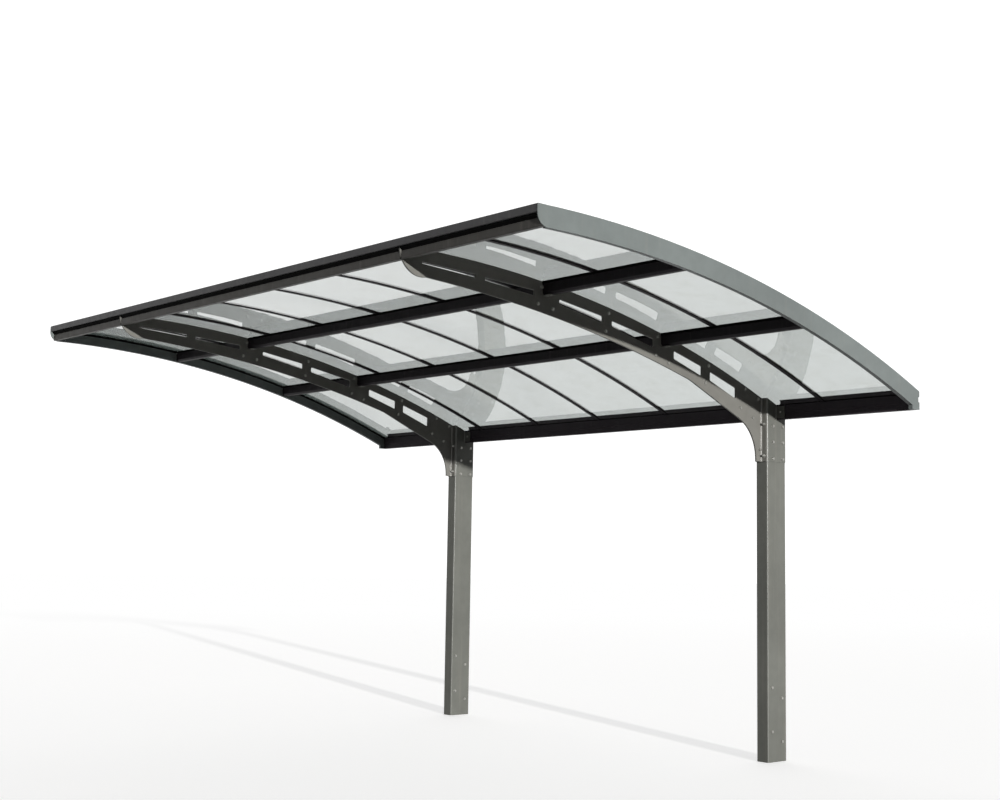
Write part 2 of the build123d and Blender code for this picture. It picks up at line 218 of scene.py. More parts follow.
def make_weathering():
    """Uneven colour, faint run marks and settled dust over a coat's colour, with its roughness."""
    group, given, result = start_group(
        "weathering",
        [
            ("Colour", "NodeSocketColor", grey(0.1)),
            ("Dust Colour", "NodeSocketColor", grey(0.25)),
            ("Dust", "NodeSocketFloat", 0.3),
            ("Runs", "NodeSocketFloat", 0.3),
            ("Edge", "NodeSocketFloat", 0.0),
            ("Edge Wear", "NodeSocketFloat", 0.3),
            ("Roughness", "NodeSocketFloat", 0.45),
        ],
        [("Colour", "NodeSocketColor"), ("Roughness", "NodeSocketFloat")],
    )
    place = own_place(group)
    patch_noise = noise(group, place, scale=2.2, detail=4.0)
    patches = ramp(group, patch_noise, 0.3, 0.7, low_result=0.93, high_result=1.07)
    cloud_noise = noise(group, place, scale=14.0, detail=3.0)
    clouds = ramp(group, cloud_noise, 0.3, 0.7, low_result=0.965, high_result=1.035)
    shade = math(group, "MULTIPLY", patches, clouds)
    coat = mix_colour(group, 1.0, given["Colour"], shade, "MULTIPLY")
    # Run marks hang down the faces, in narrow columns
    column_place = stretched_place(group, (38.0, 38.0, 1.2))
    columns = noise(group, column_place, scale=1.0, detail=3.0, roughness=0.6)
    runs = math(group, "MULTIPLY", ramp(group, columns, 0.52, 0.74), given["Runs"])
    coat = mix_colour(group, runs, coat, given["Dust Colour"])
    # Dust lies on faces that look up
    normal = add_node(group, "SeparateXYZ", {0: add_node(group, "NewGeometry").outputs["Normal"]})
    looks_up = ramp(group, normal.outputs["Z"], 0.35, 0.95)
    speck_noise = noise(group, place, scale=60.0, detail=5.0, roughness=0.65)
    specks = ramp(group, speck_noise, 0.35, 0.7, low_result=0.45, high_result=1.0)
    dust = math(group, "MULTIPLY", math(group, "MULTIPLY", looks_up, specks), given["Dust"])
    coat = mix_colour(group, dust, coat, given["Dust Colour"])
    # The coat wears thin along edges
    broken = ramp(group, noise(group, place, scale=120.0, detail=4.0), 0.42, 0.62)
    wear = math(group, "MULTIPLY", math(group, "MULTIPLY", given["Edge"], broken), given["Edge Wear"])
    bare = mix_colour(group, 1.0, coat, grey(bare_metal_gain), "MULTIPLY")
    coat = mix_colour(group, wear, coat, bare)
    group.links.new(coat, result["Colour"])
    # Rubbed places are smoother, dusty ones duller
    rub_noise = noise(group, place, scale=25.0, detail=4.0)
    rub = ramp(group, rub_noise, 0.3, 0.7, low_result=-0.05, high_result=0.06)
    rough = math(group, "ADD", given["Roughness"], rub)
    rough = math(group, "ADD", rough, math(group, "MULTIPLY", dust, dust_dulling), clamp=True)
    group.links.new(rough, result["Roughness"])
    return group


def make_polished_corners():
    """Coat weight that is high where a face turns from X to Y, as round a post's corner."""
    group, given, result = start_group(
        "polished_corners",
        [("Weight", "NodeSocketFloat", 0.5)],
        [("Coat", "NodeSocketFloat")],
    )
    normal = add_node(group, "SeparateXYZ", {0: add_node(group, "NewGeometry").outputs["Normal"]})
    x_by_y = math(group, "MULTIPLY", normal.outputs["X"], normal.outputs["Y"])
    corner = ramp(group, math(group, "ABSOLUTE", x_by_y), 0.1, 0.4)
    group.links.new(math(group, "MULTIPLY", corner, given["Weight"]), result["Coat"])
    return group


powder_grain = make_powder_grain()
polished_corners = make_polished_corners()
rounded_edges = make_rounded_edges()
weathering = make_weathering()


# Materials

paint_edge_radius = 0.0016
zinc_edge_radius = 0.001
bolt_edge_radius = 0.0006
paint_grain_scale = 700.0
paint_grain_strength = 0.25
paint_grain_height = 0.0003
paint_edge_wear = 0.3
polished_roughness = 0.28
spangle_scale = 90.0
sheet_refraction = 1.52


def start_material(name):
    material = bpy.data.materials.new(name)
    material.use_nodes = True
    tree = material.node_tree
    tree.nodes.clear()
    shader = add_node(tree, "BsdfPrincipled")
    output = add_node(tree, "OutputMaterial")
    tree.links.new(shader.outputs[0], output.inputs["Surface"])
    return material, tree, shader.inputs, output.inputs


def weather(tree, shader, look):
    """Gives the shader the weathering group's colour and roughness, with the group's inputs in look."""
    coat = place_group(tree, weathering, look)
    tree.links.new(coat["Colour"], shader["Base Color"])
    tree.links.new(coat["Roughness"], shader["Roughness"])


def powder_coat(name, colour, roughness, dust, runs, shine, polish=0.0):
    """Powder-coated metal: grained, softened along edges, dusty on top."""
    material, tree, shader, _ = start_material(name)
    edges = place_group(tree, rounded_edges, {"Radius": paint_edge_radius})
    weather(
        tree,
        shader,
        {
            "Colour": (*colour, 1.0),
            "Dust Colour": (0.30, 0.28, 0.25, 1.0),
            "Dust": dust,
            "Runs": runs,
            "Edge": edges["Edge"],
            "Edge Wear": paint_edge_wear,
            "Roughness": roughness,
        },
    )
    grain = place_group(tree, powder_grain, {"Grain Scale": paint_grain_scale})
    bump = add_node(
        tree,
        "Bump",
        {
            "Strength": paint_grain_strength,
            "Distance": paint_grain_height,
            "Height": grain["Height"],
            "Normal": edges["Normal"],
        },
    )
    tree.links.new(bump.outputs[0], shader["Normal"])
    shader["Specular IOR Level"].default_value = shine
    if polish:
        corners = place_group(tree, polished_corners, {"Weight": polish})
        tree.links.new(corners["Coat"], shader["Coat Weight"])
        shader["Coat Roughness"].default_value = polished_roughness
    return material


def galvanised_coat():
    """Hot-dip zinc with its spangle, dulled and stained near the ground."""
    material, tree, shader, _ = start_material("galvanised_zinc")
    cells = add_node(tree, "TexVoronoi", {"Vector": own_place(tree), "Scale": spangle_scale})
    spangle = add_node(tree, "SeparateColor", {0: cells.outputs["Color"]}).outputs[0]
    shade = ramp(tree, spangle, 0.0, 1.0, low_result=0.82, high_result=1.05)
    edges = place_group(tree, rounded_edges, {"Radius": zinc_edge_radius})
    weather(
        tree,
        shader,
        {
            "Colour": mix_colour(tree, 1.0, (0.42, 0.43, 0.44, 1.0), shade, "MULTIPLY"),
            "Dust Colour": (0.32, 0.30, 0.27, 1.0),
            "Dust": 0.4,
            "Runs": 0.25,
            "Edge": edges["Edge"],
            "Edge Wear": 0.1,
            "Roughness": 0.42,
        },
    )
    tree.links.new(edges["Normal"], shader["Normal"])
    shader["Metallic"].default_value = 0.85
    return material


def bolt_steel():
    """Zinc-plated bolts, dulled and a little stained."""
    material, tree, shader, _ = start_material("bolt_steel")
    edges = place_group(tree, rounded_edges, {"Radius": bolt_edge_radius})
    weather(
        tree,
        shader,
        {
            "Colour": (0.34, 0.34, 0.32, 1.0),
            "Dust Colour": (0.20, 0.18, 0.15, 1.0),
            "Dust": 0.3,
            "Runs": 0.2,
            "Edge": edges["Edge"],
            "Edge Wear": 0.5,
            "Roughness": 0.42,
        },
    )
    tree.links.new(edges["Normal"], shader["Normal"])
    shader["Metallic"].default_value = 0.45
    return material


def seal_and_shade_black():
    """Black weather seal, matt, with a trace of dust. Its near-black colour and faint gloss also make
    painted shade: the groove filler under the front trim and the plugs in the arms' noses.
    """
    material, tree, shader, _ = start_material("seal_and_shade_black")
    weather(
        tree,
        shader,
        {
            "Colour": grey(0.004),
            "Dust Colour": (0.10, 0.09, 0.08, 1.0),
            "Dust": 0.3,
            "Runs": 0.03,
            "Edge Wear": 0.0,
            "Roughness": 0.75,
        },
    )
    shader["Specular IOR Level"].default_value = 0.02
    return material


def clear_sheet():
    """Clear plastic sheet with a grey tint, faint waves and dust haze."""
    material, tree, shader, _ = start_material("clear_sheet")
    place = own_place(tree)
    film = ramp(tree, noise(tree, place, scale=9.0, detail=5.0, roughness=0.6), 0.35, 0.75)
    specks = ramp(tree, noise(tree, place, scale=210.0, detail=2.0, roughness=0.7), 0.62, 0.72)
    haze = math(tree, "MULTIPLY", film, ramp(tree, specks, 0.0, 1.0, low_result=0.25, high_result=1.0))
    tint = mix_colour(tree, haze, (0.50, 0.53, 0.52, 1.0), (0.38, 0.39, 0.36, 1.0))
    rough = ramp(tree, haze, 0.0, 1.0, low_result=0.015, high_result=0.16)
    waves = noise(tree, stretched_place(tree, (2.0, 5.0, 5.0)), scale=1.0, detail=2.0)
    bump = add_node(tree, "Bump", {"Strength": 0.35, "Distance": 0.0012, "Height": waves})
    tree.links.new(tint, shader["Base Color"])
    tree.links.new(rough, shader["Roughness"])
    tree.links.new(bump.outputs[0], shader["Normal"])
    shader["Transmission Weight"].default_value = 1.0
    shader["IOR"].default_value = sheet_refraction
    return material


post_paint = powder_coat(
    "post_paint", (0.172, 0.177, 0.162), roughness=0.42, dust=0.2, runs=0.16, shine=0.12, polish=0.8
)
arm_paint = powder_coat(
    "arm_paint", (0.222, 0.219, 0.203), roughness=0.44, dust=0.25, runs=0.08, shine=0.12, polish=0.8
)
gable_paint = powder_coat(
    "gable_paint", (0.191, 0.215, 0.213), roughness=0.42, dust=0.25, runs=0.12, shine=0.2
)
trim_paint = powder_coat(
    "trim_paint", (0.070, 0.070, 0.073), roughness=0.42, dust=0.3, runs=0.08, shine=0.16
)
beam_paint = powder_coat(
    "beam_paint", (0.052, 0.050, 0.046), roughness=0.45, dust=0.25, runs=0.08, shine=0.14
)
# The purlins', bars' and end caps' near-black is the trim's dark grey darkened by painted shade, for
# their place under the roof
shaded_profile_paint = powder_coat(
    "shaded_profile_paint", (0.015, 0.013, 0.015), roughness=0.5, dust=0.2, runs=0.03, shine=0.10
)
# The gutter's colour is the trim's dark grey darkened by painted shade, as it stands in the shade under
# the roof's rear
shaded_gutter_paint = powder_coat(
    "shaded_gutter_paint", (0.040, 0.034, 0.040), roughness=0.5, dust=0.2, runs=0.03, shine=0.12
)
zinc = galvanised_coat()
bolt_finish = bolt_steel()
rubber_and_painted_shade = seal_and_shade_black()
clear = clear_sheet()


def finish_of(name):
    """The material of a CAD node, by the node's name."""
    if name.startswith("roof_panel"):
        return clear
    if name.endswith("_anchor"):
        return zinc
    if name.endswith("_gable_arch"):
        return gable_paint
    if "_arm_" in name:
        return arm_paint
    if name.endswith(("_post", "_post_head")):
        return post_paint
    if name.startswith("front_beam"):
        return beam_paint
    if name == "front_trim":
        return trim_paint
    if name.startswith("rear_gutter"):
        return shaded_gutter_paint
    return shaded_profile_paint


for name, cad_node in nodes.items():
    for slot in cad_node.material_slots:
        slot.material = finish_of(name)


# Mesh helpers

sharp_edge_angle = radians(35)


def finish_piece(name, mesh, material):
    """Makes the finished mesh a piece of the carport."""
    bmesh.ops.recalc_face_normals(mesh, faces=mesh.faces)
    data = bpy.data.meshes.new(name)
    mesh.to_mesh(data)
    mesh.free()
    data.materials.append(material)
    data.shade_smooth()
    data.set_sharp_from_angle(angle=sharp_edge_angle)
    piece = bpy.data.objects.new(name, data)
    bpy.context.scene.collection.objects.link(piece)
    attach(piece, "root")


def add_tube(mesh, rings):
    """Adds a closed form through rings of points, all of the same count, its ends closed."""
    loops = [[mesh.verts.new(spot) for spot in ring] for ring in rings]
    for first, second in zip(loops, loops[1:]):
        for step in range(len(first)):
            after = (step + 1) % len(first)
            mesh.faces.new((first[step], first[after], second[after], second[step]))
    mesh.faces.new(loops[0][::-1])
    mesh.faces.new(loops[-1])


def add_turned(mesh, profile, sides, place, axis, twist=0.0):
    """Adds a closed turned form: profile is (radius, height) from the foot up, along axis."""
    turn = Vector((0, 0, 1)).rotation_difference(Vector(axis)).to_matrix().to_4x4()
    placed = Matrix.Translation(place) @ turn
    rings = []
    for radius, height in profile:
        ring = []
        for step in range(sides):
            angle = twist + 2 * pi * step / sides
            ring.append(placed @ Vector((radius * cos(angle), radius * sin(angle), height)))
        rings.append(ring)
    add_tube(mesh, rings)


# Bolts and screws: profiles are (radius, height) from the foot up
washer_radius = 0.010
washer_height = 0.002
washer_edge = 0.0004
washer_sides = 28
washer_profile = (
    (washer_radius, 0.0),
    (washer_radius, washer_height - washer_edge),
    (washer_radius - washer_edge, washer_height),
)
hexagon_sides = 6
hexagon_width = 0.016
hexagon_flat_share = 0.93
hexagon_chamfer_share = 0.12
bolt_head_height = 0.0064
crown_profile = ((0.0066, 0.0), (0.0061, 0.0005))
crown_sides = 20
nut_height = 0.0084
shank_radius = 0.005
thread_pitch = 0.0015
thread_depth = 0.0009
thread_sides = 16
# A pan head's profile is in shares of its radius and height, its socket's in a share and a rise
pan_shares = ((1.0, 0.0), (1.0, 0.35), (0.88, 0.72), (0.62, 1.0), (0.42, 1.0))
pan_sides = 24
socket_shares = ((0.44, 0.00005), (0.40, 0.0001))


def add_washer(mesh, place, axis):
    add_turned(mesh, washer_profile, washer_sides, place, axis)


def add_hexagon(mesh, place, axis, height, twist):
    """Hexagon head or nut with its corners turned off."""
    corner = hexagon_width / 2 / cos(pi / hexagon_sides)
    flat = corner * hexagon_flat_share
    chamfer = height * hexagon_chamfer_share
    profile = ((flat, 0.0), (corner, chamfer), (corner, height - chamfer), (flat, height))
    add_turned(mesh, profile, hexagon_sides, place, axis, twist)


def add_bolt_head(mesh, place, axis, twist):
    """Washer and hexagon head with its raised crown."""
    axis = Vector(axis).normalized()
    add_washer(mesh, place, axis)
    foot = place + axis * washer_height
    add_hexagon(mesh, foot, axis, bolt_head_height, twist)
    add_turned(mesh, crown_profile, crown_sides, foot + axis * bolt_head_height, axis)


def add_nut(mesh, place, axis, tail, twist):
    """Washer, nut and the bolt's threaded tail."""
    axis = Vector(axis).normalized()
    add_washer(mesh, place, axis)
    foot = place + axis * washer_height
    add_hexagon(mesh, foot, axis, nut_height, twist)
    thread = []
    height = 0.0
    while height < nut_height + tail:
        thread.append((shank_radius, height))
        thread.append((shank_radius - thread_depth, height + thread_pitch / 2))
        height += thread_pitch
    thread.append((shank_radius - thread_depth, height))
    add_turned(mesh, thread, thread_sides, foot, axis)


def add_pan_screw(mesh, place, axis, radius, height):
    """Pan-head screw with a six-sided socket."""
    profile = [(radius * share, height * rise) for share, rise in pan_shares]
    add_turned(mesh, profile, pan_sides, place, axis)
    axis = Vector(axis).normalized()
    socket = [(radius * share, rise) for share, rise in socket_shares]
    add_turned(mesh, socket, hexagon_sides, place + axis * height, axis)


# Bolts through both plates of an arm: y, and depth below the roof arc. The twists, here and
# below, keep the hexagons from all standing alike
arm_bolts = (
    (-1.899, 0.060),
    (-1.926, 0.154),
    (-1.820, 0.156),
    (-1.403, 0.060),
    (-1.423, 0.163),
    (-1.008, 0.055),
    (-1.028, 0.165),
    (-0.921, 0.171),
    (-0.577, 0.055),
    (-0.608, 0.162),
    (-0.248, 0.047),
    (-0.126, 0.050),
    (-0.289, 0.170),
    (-0.178, 0.177),
    (-0.112, 0.324),
)
arm_plate = 0.005
arm_nut_tail = 0.004
arm_head_twist = 0.4
arm_nut_twist = 0.7
web_faces = {}
for side, _ in post_places:
    web_right_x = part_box(f"{side}_arm_right_plate")[0].x + arm_plate
    web_left_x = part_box(f"{side}_arm_left_plate")[1].x - arm_plate
    web_faces[side] = (web_left_x, web_right_x)
    bolts = bmesh.new()
    for number, (y, depth) in enumerate(arm_bolts):
        add_bolt_head(bolts, roof_point(web_right_x, y, depth), (1, 0, 0), arm_head_twist * number)
        nut_place = roof_point(web_left_x, y, depth)
        add_nut(bolts, nut_place, (-1, 0, 0), arm_nut_tail, arm_nut_twist * number)
    finish_piece(f"{side}_arm_bolts", bolts, bolt_finish)

# Bolts from the arm's flanges into the post head
flange_bolt_heights = (1.995, 1.805)
flange_bolt_side = 0.027
flange_step = 0.0053
flange_nut_tail = 0.008
flange_nut_twist = 0.5
for side, post_x in post_places:
    flange_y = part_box(f"{side}_post_head")[0].y - flange_step
    bolts = bmesh.new()
    for number, height in enumerate(flange_bolt_heights):
        for direction in (-1, 1):
            place = Vector((post_x + direction * flange_bolt_side, flange_y, height))
            add_nut(bolts, place, (0, -1, 0), flange_nut_tail, flange_nut_twist * number)
    finish_piece(f"{side}_flange_bolts", bolts, bolt_finish)

# Side bolts of the post heads, and lower down those into the ground anchors, as (y, height)
head_bolt_rows = (1.985, 1.889, 1.789)
head_bolt_columns = (-0.038, 0.0525)
head_bolt_twist = 0.6
anchor_bolts = ((-0.051, 0.434), (-0.051, 0.1775), (0.041, 0.368), (0.041, 0.115))
anchor_bolt_twist = 0.45
head_side_step = 0.0033
for side, post_x in post_places:
    head_bolts = bmesh.new()
    foot_bolts = bmesh.new()
    for direction in (-1, 1):
        axis = (direction, 0, 0)
        head_x = post_x + direction * (post_half_width + head_side_step)
        for row, height in enumerate(head_bolt_rows):
            for y in head_bolt_columns:
                add_bolt_head(head_bolts, Vector((head_x, y, height)), axis, head_bolt_twist * row + y)
        foot_x = post_x + direction * post_half_width
        for number, (y, height) in enumerate(anchor_bolts):
            add_bolt_head(foot_bolts, Vector((foot_x, y, height)), axis, anchor_bolt_twist * number)
    finish_piece(f"{side}_head_bolts", head_bolts, bolt_finish)
    finish_piece(f"{side}_anchor_bolts", foot_bolts, bolt_finish)

# Screws that hold the rear gutter to the post heads' cleats
cleat_face_y = -0.0053
cleat_screw_side = 0.076
cleat_screw_z = 2.071
cleat_screw_radius = 0.0065
cleat_screw_height = 0.0034
for side, post_x in post_places:
    screws = bmesh.new()
    for direction in (-1, 1):
        place = Vector((post_x + direction * cleat_screw_side, cleat_face_y, cleat_screw_z))
        add_pan_screw(screws, place, (0, -1, 0), cleat_screw_radius, cleat_screw_height)
    finish_piece(f"{side}_cleat_screws", screws, bolt_finish)

# Weld beads, laid in the corner between two faces
weld_size = 0.0035
weld_pitch = 0.003
weld_ripple = 0.86
weld_full_share = 0.8
weld_lean_share = 0.45


def add_weld(mesh, start, end, first_side, second_side):
    """Adds a rippled bead from start to end; the sides point out along the two faces."""
    path = end - start
    count = round(path.length / (weld_pitch / 2))
    rings = []
    for step in range(count + 1):
        spot = start + path * step / count
        size = weld_size * (1.0 if step % 2 else weld_ripple)
        rings.append(
            [
                spot,
                spot + first_side * size,
                spot + first_side * size * weld_full_share + second_side * size * weld_lean_share,
                spot + first_side * size * weld_lean_share + second_side * size * weld_full_share,
                spot + second_side * size,
            ]
        )
    add_tube(mesh, rings)


# Welds of the cleats to the post heads and of the purlin seats to the arms, and the screws from
# the seats up into the purlins
up = Vector((0, 0, 1))
forward = Vector((0, -1, 0))
cleat_low_z = 2.034
cleat_high_z = 2.106
weld_margin = 0.002
purlin_depth = 0.040
purlin_height = 0.070
seat_gap = 0.0003
seat_thickness = 0.004
seat_screw_places = (0.024, 0.048)
seat_screw_radius = 0.0055
seat_screw_height = 0.003
for side, post_x in post_places:
    head_welds = bmesh.new()
    seat_welds = bmesh.new()
    seat_screws = bmesh.new()
    for direction, web_x in zip((-1, 1), web_faces[side]):
        outward = Vector((direction, 0, 0))
        root = Vector((post_x + direction * (post_half_width + head_side_step), cleat_face_y, 0))
        low = root + up * (cleat_low_z + weld_margin)
        high = root + up * (cleat_high_z - weld_margin)
        add_weld(head_welds, low, high, outward, forward)
        for purlin_y in purlin_places:
            seat_low_z = roof_point(0, purlin_y, purlin_top_depth).z - purlin_height - seat_gap
            seat_low_z -= seat_thickness
            start = Vector((web_x, purlin_y + weld_margin, seat_low_z))
            end = Vector((web_x, purlin_y + purlin_depth - weld_margin, seat_low_z))
            add_weld(seat_welds, start, end, outward, -up)
            plate_x = web_x - direction * arm_plate
            for reach in seat_screw_places:
                place = Vector((plate_x + direction * reach, purlin_y + purlin_depth / 2, seat_low_z))
                add_pan_screw(seat_screws, place, (0, 0, -1), seat_screw_radius, seat_screw_height)
    finish_piece(f"{side}_cleat_welds", head_welds, post_paint)
    finish_piece(f"{side}_seat_welds", seat_welds, arm_paint)
    finish_piece(f"{side}_seat_screws", seat_screws, bolt_finish)

# Black plugs in the arms' noses: painted shade, standing in for the shade in a hole there
plug_y = -2.8195
plug_depth = 0.053
plug_profile = ((0.0052, 0.0), (0.0052, 0.0008), (0.0044, 0.0014), (0.0030, 0.0014), (0.0026, 0.0010))
plug_sides = 24
for side, _ in post_places:
    shade_plugs = bmesh.new()
    for direction, web_x in zip((-1, 1), web_faces[side]):
        place = roof_point(web_x, plug_y, plug_depth)
        add_turned(shade_plugs, plug_profile, plug_sides, place, (direction, 0, 0))
    finish_piece(f"{side}_nose_shade_plugs", shade_plugs, rubber_and_painted_shade)

# Rubber seals
bar_clearance = 0.0004
seal_steps = 30


def add_bent_seal(mesh, section, x, direction, y_start, y_end, steps):
    """Adds a seal bent along the roof; section is (reach from x towards direction, depth)."""
    rings = []
    for step in range(steps + 1):
        y = y_start + (y_end - y_start) * step / steps
        rings.append([roof_point(x + direction * reach, y, depth) for reach, depth in section])
    add_tube(mesh, rings)


def add_straight_seal(mesh, section, start_y, x_start, x_end):
    """Adds a seal along X; section is (y from start_y, depth)."""
    ends = [[roof_point(x, start_y + y, depth) for y, depth in section] for x in (x_start, x_end)]
    add_tube(mesh, ends)


def open_spans(x_start, x_end):
    """Stretches of X from x_start to x_end between the glazing bars."""
    spans = []
    near = x_start
    for bar_x in bar_places:
        if x_start < bar_x < x_end:
            spans.append((near, bar_x - bar_half_width - bar_clearance))
            near = bar_x + bar_half_width + bar_clearance
    spans.append((near, x_end))
    return spans


# Lips along the glazing bars, on both faces of the sheets
lip_width = 0.0026
lip_shoulder = 0.0021
lip_rise = 0.0009
lip_height = 0.0017


def lip_section(sheet_depth, away):
    """Section of a lip on a sheet's face; away is -1 on its top and 1 underneath."""
    return (
        (0.0, sheet_depth),
        (lip_width, sheet_depth),
        (lip_shoulder, sheet_depth + away * lip_rise),
        (0.0, sheet_depth + away * lip_height),
    )


upper_lip = lip_section(sheet_top_depth, -1)
lower_lip = lip_section(sheet_low_depth, 1)
bar_seals = bmesh.new()
for bar_x in bar_places:
    for direction in (-1, 1):
        edge_x = bar_x + direction * bar_half_width
        for lip in (upper_lip, lower_lip):
            add_bent_seal(bar_seals, lip, edge_x, direction, bar_front_y, panel_rear_y, seal_steps)
finish_piece("bar_seals", bar_seals, rubber_and_painted_shade)

# Gable seals: a lip on top of the sheet, and under it a deep gasket that stops at the purlins
gasket_width = 0.0030
gasket_bulge = 0.0036
gasket_bulge_drop = 0.003
gasket_shoulder_drop = 0.012
gasket_height = 0.013
gasket = (
    (0.0, sheet_low_depth),
    (gasket_width, sheet_low_depth),
    (gasket_bulge, sheet_low_depth + gasket_bulge_drop),
    (gasket_width, sheet_low_depth + gasket_shoulder_drop),
    (0.0, sheet_low_depth + gasket_height),
)
gasket_rear_y = -0.0025
purlin_room = 0.0005
gasket_spans = (
    (bar_front_y, purlin_places[0] - purlin_room),
    (purlin_places[0] + purlin_depth + purlin_room, purlin_places[1] - purlin_room),
    (purlin_places[1] + purlin_depth + purlin_room, gasket_rear_y),
)
for side, face_x, direction in (("left", roof_left_x, 1), ("right", roof_right_x, -1)):
    seals = bmesh.new()
    add_bent_seal(seals, upper_lip, face_x, direction, bar_front_y, panel_rear_y, seal_steps)
    for y_start, y_end in gasket_spans:
        add_bent_seal(seals, gasket, face_x, direction, y_start, y_end, seal_steps // 2)
    finish_piece(f"{side}_gable_seals", seals, rubber_and_painted_shade)

# Purlin seals: foam under the sheets between the bars, and a flap down the front of each purlin
seal_top_depth = 0.0272
seal_low_depth = 0.0302
foam_front = -0.0026
foam_rear = 0.036
foam_chamfer = 0.001
foam_section = (
    (foam_front, seal_top_depth),
    (foam_rear - foam_chamfer, seal_top_depth),
    (foam_rear, seal_top_depth + foam_chamfer),
    (foam_rear, seal_low_depth),
    (foam_front, seal_low_depth),
)
flap_rear = -0.0001
flap_toe = -0.0016
flap_low_depth = 0.0405
flap_toe_rise = 0.001
flap_section = (
    (foam_front, purlin_top_depth),
    (flap_rear, purlin_top_depth),
    (flap_rear, flap_low_depth),
    (flap_toe, flap_low_depth),
    (foam_front, flap_low_depth - flap_toe_rise),
)
purlin_seals = bmesh.new()
for low, high in purlin_boxes:
    for x_start, x_end in open_spans(low.x, high.x):
        add_straight_seal(purlin_seals, foam_section, low.y, x_start, x_end)
    add_straight_seal(purlin_seals, flap_section, low.y, low.x, high.x)
finish_piece("purlin_seals", purlin_seals, rubber_and_painted_shade)

# Bead on the rear gutter's front wall, under the sheets
bead_front_y = -0.0012
bead_rear_y = 0.0022
bead_chamfer = 0.0008
bead_section = (
    (bead_front_y, seal_low_depth),
    (bead_front_y, seal_top_depth + bead_chamfer),
    (bead_front_y + bead_chamfer, seal_top_depth),
    (bead_rear_y - bead_chamfer, seal_top_depth),
    (bead_rear_y, seal_top_depth + bead_chamfer),
    (bead_rear_y, seal_low_depth),
)
gutter_seals = bmesh.new()
for low, high in gutter_boxes:
    for x_start, x_end in open_spans(low.x, high.x):
        add_straight_seal(gutter_seals, bead_section, 0, x_start, x_end)
finish_piece("gutter_seals", gutter_seals, rubber_and_painted_shade)

# Black filler between the front trim and the front beam: painted shade, a near-black piece that stands
# in for the shaded groove there
beam_height = 0.041
filler_gap = 0.0004
filler_depth = 0.0177
filler_top_inset = 0.011
filler_low_inset = 0.001
filler_chamfer = 0.001
filler_step = 0.002
filler_lip = 0.008
filler_toe = 0.006
first_beam_low, _ = beam_boxes[0]
filler_rear_y = first_beam_low.y + filler_depth
filler_top_z = trim_low.z - filler_gap
filler_low_z = first_beam_low.z + beam_height + filler_gap
filler_top_y = trim_low.y + filler_top_inset
filler_low_y = first_beam_low.y + filler_low_inset
shade_filler_section = (
    (filler_rear_y, filler_top_z),
    (filler_top_y + filler_chamfer, filler_top_z),
    (filler_top_y, filler_top_z - filler_step),
    (filler_top_y + filler_step, filler_top_z - filler_lip),
    (filler_low_y - filler_step, filler_low_z + filler_toe),
    (filler_low_y, filler_low_z + filler_chamfer),
    (filler_low_y + filler_step, filler_low_z),
    (filler_rear_y, filler_low_z),
)
shade_fillers = bmesh.new()
for low, high in beam_boxes:
    add_tube(shade_fillers, [[Vector((x, y, z)) for y, z in shade_filler_section] for x in (low.x, high.x)])
finish_piece("front_shade_fillers", shade_fillers, rubber_and_painted_shade)

# End caps on the rear ends of the glazing bars, each with its screw. The outline is (side, depth
# below the roof arc, inset from the bar's side), the layers (growth of the outline, rise)
cap_corner = 0.003
cap_outline = (
    (-1, bar_seat_depth, 0.0),
    (-1, bar_cap_depth + cap_corner, 0.0),
    (-1, bar_cap_depth, cap_corner),
    (1, bar_cap_depth, cap_corner),
    (1, bar_cap_depth + cap_corner, 0.0),
    (1, bar_seat_depth, 0.0),
)
cap_layers = ((0.0003, 0.0), (0.0003, 0.0014), (-0.0006, 0.0021))
cap_face_rise = cap_layers[-1][1]
cap_screw_depth = 0.020
cap_screw_radius = 0.0035
cap_screw_height = 0.0016
end_sine = (bar_rear_y - arc_centre_y) / (roof_radius - bar_cap_depth)
end_cosine = sqrt(1 - end_sine**2)
end_outward = Vector((0, end_sine, end_cosine))
end_axis = Vector((0, end_cosine, -end_sine))
arc_centre = Vector((0, arc_centre_y, arc_centre_z))
cap_middle_depth = (bar_seat_depth + bar_cap_depth) / 2
end_caps = bmesh.new()
end_screws = bmesh.new()
for bar_x in bar_places:
    middle = arc_centre + Vector((bar_x, 0, 0))
    rings = []
    for growth, rise in cap_layers:
        ring = []
        for side_sign, depth, inset in cap_outline:
            across = side_sign * (bar_half_width - inset + growth)
            lift = cap_middle_depth - depth
            lift += growth if lift > 0 else -growth
            outward_reach = roof_radius - cap_middle_depth + lift
            place = arc_centre + Vector((bar_x + across, 0, 0))
            ring.append(place + end_outward * outward_reach + end_axis * rise)
        rings.append(ring)
    add_tube(end_caps, rings)
    screw_place = middle + end_outward * (roof_radius - cap_screw_depth) + end_axis * cap_face_rise
    add_pan_screw(end_screws, screw_place, end_axis, cap_screw_radius, cap_screw_height)
finish_piece("bar_end_caps", end_caps, shaded_profile_paint)
finish_piece("bar_end_screws", end_screws, bolt_finish)

